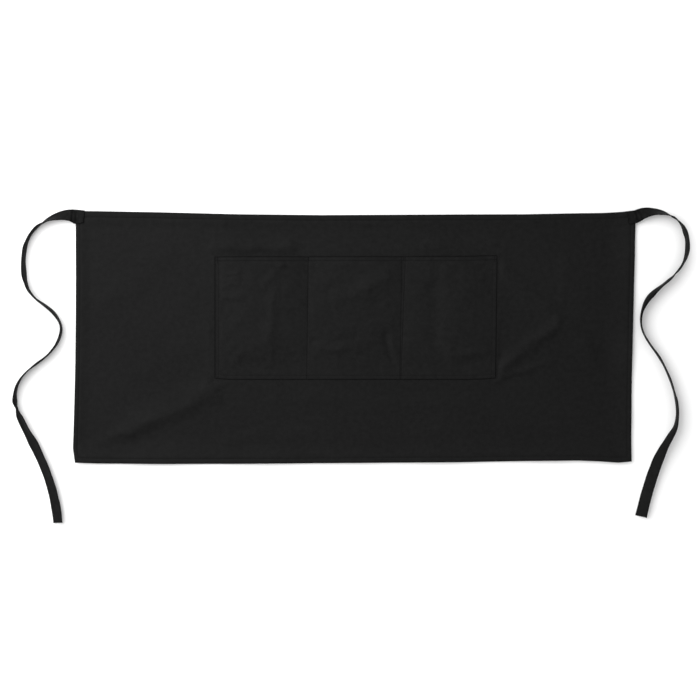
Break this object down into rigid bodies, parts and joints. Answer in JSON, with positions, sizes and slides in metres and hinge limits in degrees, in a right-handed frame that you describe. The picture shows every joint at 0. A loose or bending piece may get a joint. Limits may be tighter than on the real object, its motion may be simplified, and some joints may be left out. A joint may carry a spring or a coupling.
{
  "type": "waist apron",
  "caption": "Short waist apron of dark twill laid flat, with hemmed edges, a patch pocket divided into open compartments and narrow ties at the upper corners.",
  "frame": {"origin": "middle of the panel's underside, on the surface that the apron lies on", "axes": "+X along the waist, +Y from the bottom edge to the waist edge, +Z out of the front of the apron"},
  "size_m": [1.0893, 0.5093, 0.0191],
  "materials": {
    "twill": "black cotton-blend twill, matt, with a fine diagonal weave and soft creases",
    "tape": "black twill folded and stitched into a flat tie, matt"
  },
  "bodies": {
    "root": {"apron_panel": "twill", "pocket": "twill", "tie_left": "tape", "tie_right": "tape"}
  },
  "joints": []
}
